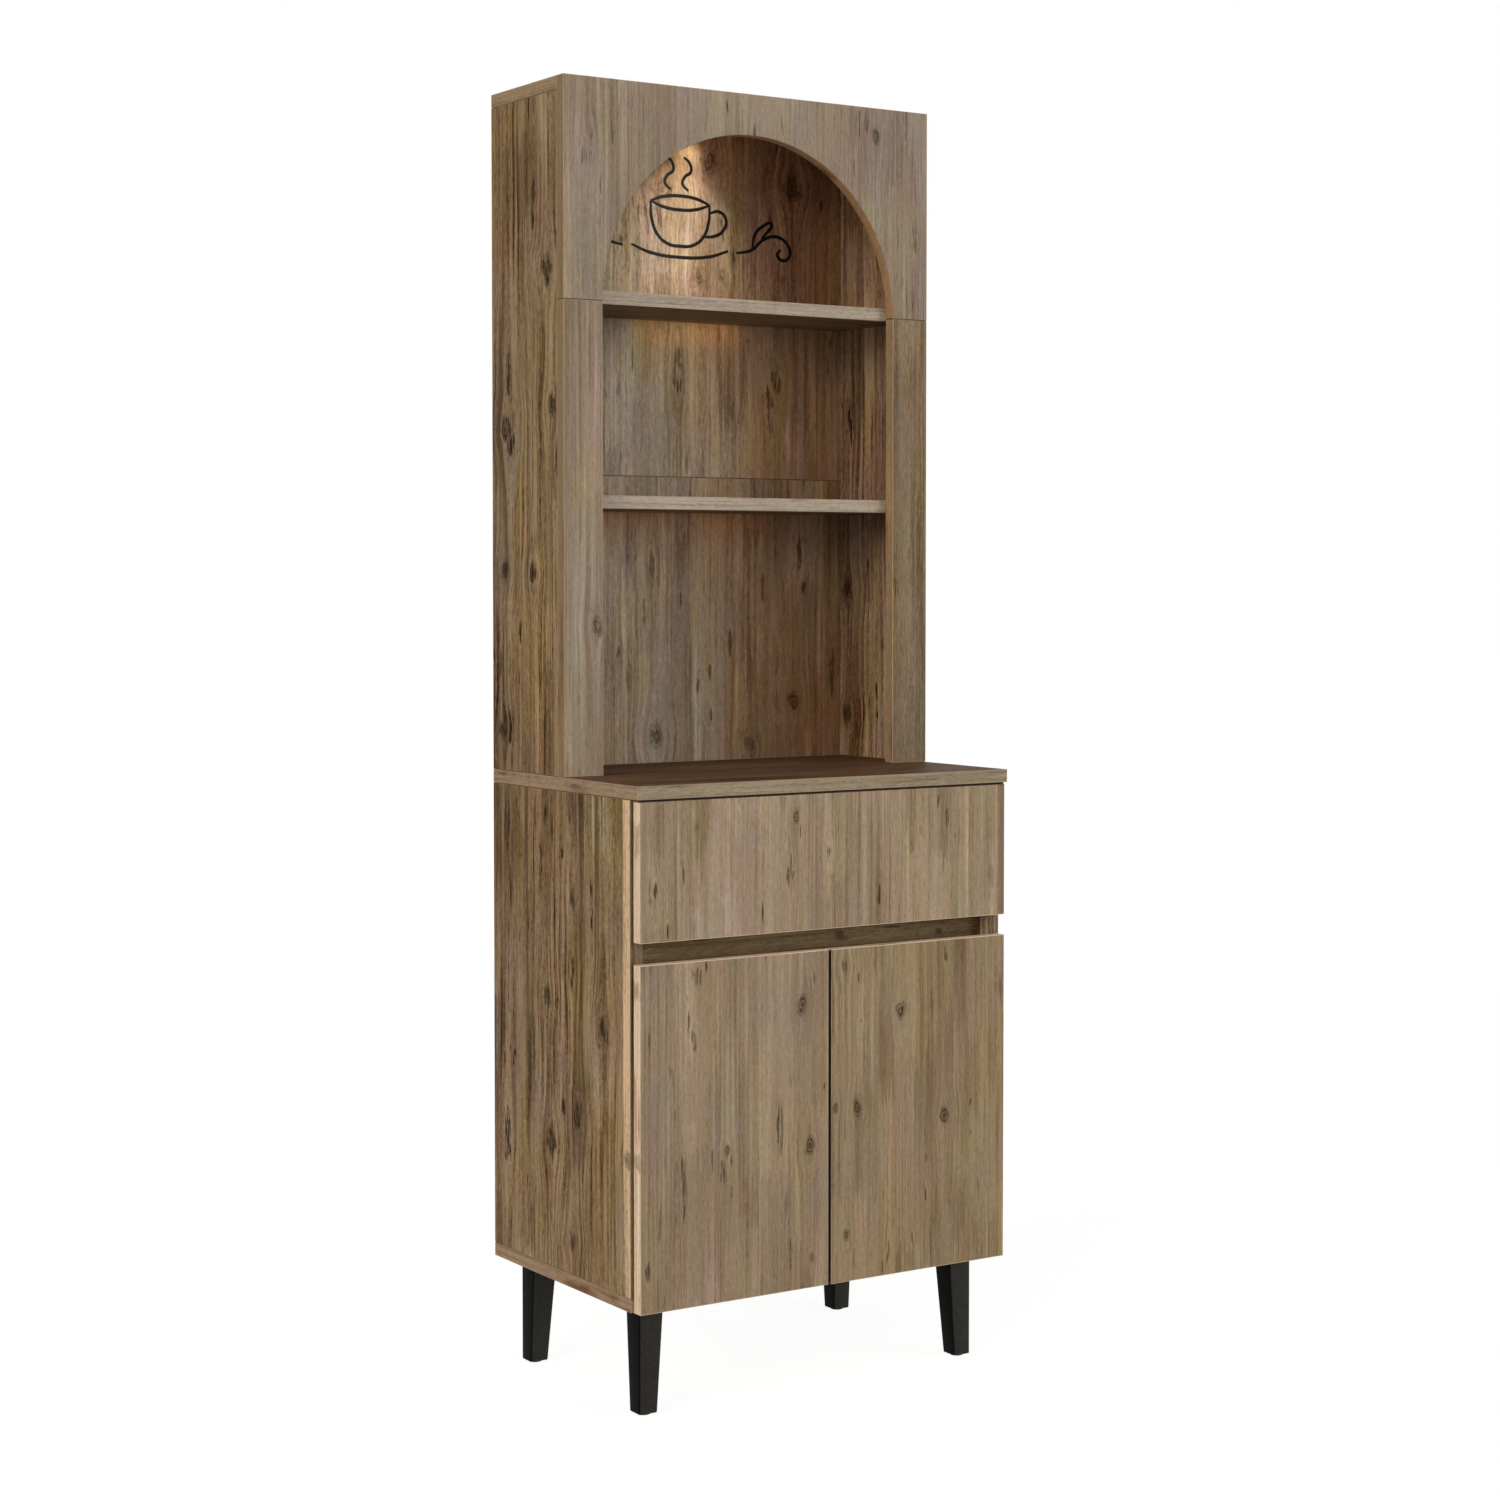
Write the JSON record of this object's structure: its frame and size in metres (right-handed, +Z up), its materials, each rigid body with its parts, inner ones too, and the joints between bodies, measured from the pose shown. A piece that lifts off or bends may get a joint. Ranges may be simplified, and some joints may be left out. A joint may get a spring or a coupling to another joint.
{
  "type": "coffee bar cabinet",
  "caption": "Tall coffee bar cabinet: an open hutch with an arched front and shelves on a base with a drawer, a recessed finger gap and paired doors, on tapered legs.",
  "frame": {"origin": "on the floor under the middle of the cabinet's width and depth", "axes": "+Z up, -Y out of the front with the drawer and doors, +X to the right of someone facing the front"},
  "size_m": [0.6, 0.394, 1.7659],
  "materials": {
    "pine_board": "matt pine decor",
    "hardboard": "matt pine decor",
    "drawer_board": "plain decor",
    "black_lacquer": "satin black lacquer",
    "glide_plastic": "matt",
    "zinc_steel": "zinc plated",
    "lamp_plastic": "satin",
    "lamp_lens": "frosted"
  },
  "bodies": {
    "cabinet": {"base_bottom": "pine_board", "base_side_left": "pine_board", "base_side_right": "pine_board", "worktop": "pine_board", "handle_rail": "pine_board", "inner_shelf": "pine_board", "base_back": "hardboard", "shelf_pin_left_front": "zinc_steel", "shelf_pin_left_rear": "zinc_steel", "shelf_pin_right_front": "zinc_steel", "shelf_pin_right_rear": "zinc_steel", "leg_front_left": "black_lacquer", "leg_front_right": "black_lacquer", "leg_rear_left": "black_lacquer", "leg_rear_right": "black_lacquer", "leg_bolt_front_left": "zinc_steel", "leg_bolt_front_right": "zinc_steel", "leg_bolt_rear_left": "zinc_steel", "leg_bolt_rear_right": "zinc_steel", "leg_glide_front_left": "glide_plastic", "leg_glide_front_right": "glide_plastic", "leg_glide_rear_left": "glide_plastic", "leg_glide_rear_right": "glide_plastic", "runner_outer_left": "zinc_steel", "runner_outer_right": "zinc_steel", "hinge_arm_left_upper": "zinc_steel", "hinge_arm_left_lower": "zinc_steel", "hinge_arm_right_upper": "zinc_steel", "hinge_arm_right_lower": "zinc_steel", "hutch_side_left": "pine_board", "hutch_side_right": "pine_board", "hutch_top": "pine_board", "back_lower": "hardboard", "back_upper": "hardboard", "shelf_upper": "pine_board", "shelf_lower": "pine_board", "stile_left": "pine_board", "stile_right": "pine_board", "arch_header": "pine_board", "lamp_housing": "lamp_plastic", "lamp_lens": "lamp_lens"},
    "drawer": {"drawer_front": "pine_board", "drawer_side_left": "drawer_board", "drawer_side_right": "drawer_board", "drawer_inner_front": "drawer_board", "drawer_back": "drawer_board", "drawer_bottom": "hardboard", "runner_inner_left": "zinc_steel", "runner_inner_right": "zinc_steel"},
    "left_runner_middle": {"runner_middle_left": "zinc_steel"},
    "right_runner_middle": {"runner_middle_right": "zinc_steel"},
    "left_door": {"door_left": "pine_board", "hinge_cup_left_upper": "zinc_steel", "hinge_cup_left_lower": "zinc_steel"},
    "right_door": {"door_right": "pine_board", "hinge_cup_right_upper": "zinc_steel", "hinge_cup_right_lower": "zinc_steel"}
  },
  "joints": [
    {"name": "drawer_slide", "type": "slide", "parent": "cabinet", "child": "drawer", "axis": [0, -1, 0], "range_m": [0, 0.28]},
    {"name": "left_runner_slide", "type": "slide", "parent": "cabinet", "child": "left_runner_middle", "axis": [0, -1, 0], "range_m": [0, 0.14]},
    {"name": "right_runner_slide", "type": "slide", "parent": "cabinet", "child": "right_runner_middle", "axis": [0, -1, 0], "range_m": [0, 0.14]},
    {"name": "left_door_hinge", "type": "hinge", "parent": "cabinet", "child": "left_door", "pos_m": [-0.2965, -0.1875, 0.3735], "axis": [0, 0, -1], "range_deg": [0, 100]},
    {"name": "right_door_hinge", "type": "hinge", "parent": "cabinet", "child": "right_door", "pos_m": [0.2965, -0.1875, 0.3735], "axis": [0, 0, 1], "range_deg": [0, 100]}
  ],
  "couplings": [
    {"joint": "left_runner_slide", "follows": "drawer_slide", "ratio": 0.5},
    {"joint": "right_runner_slide", "follows": "drawer_slide", "ratio": 0.5}
  ]
}
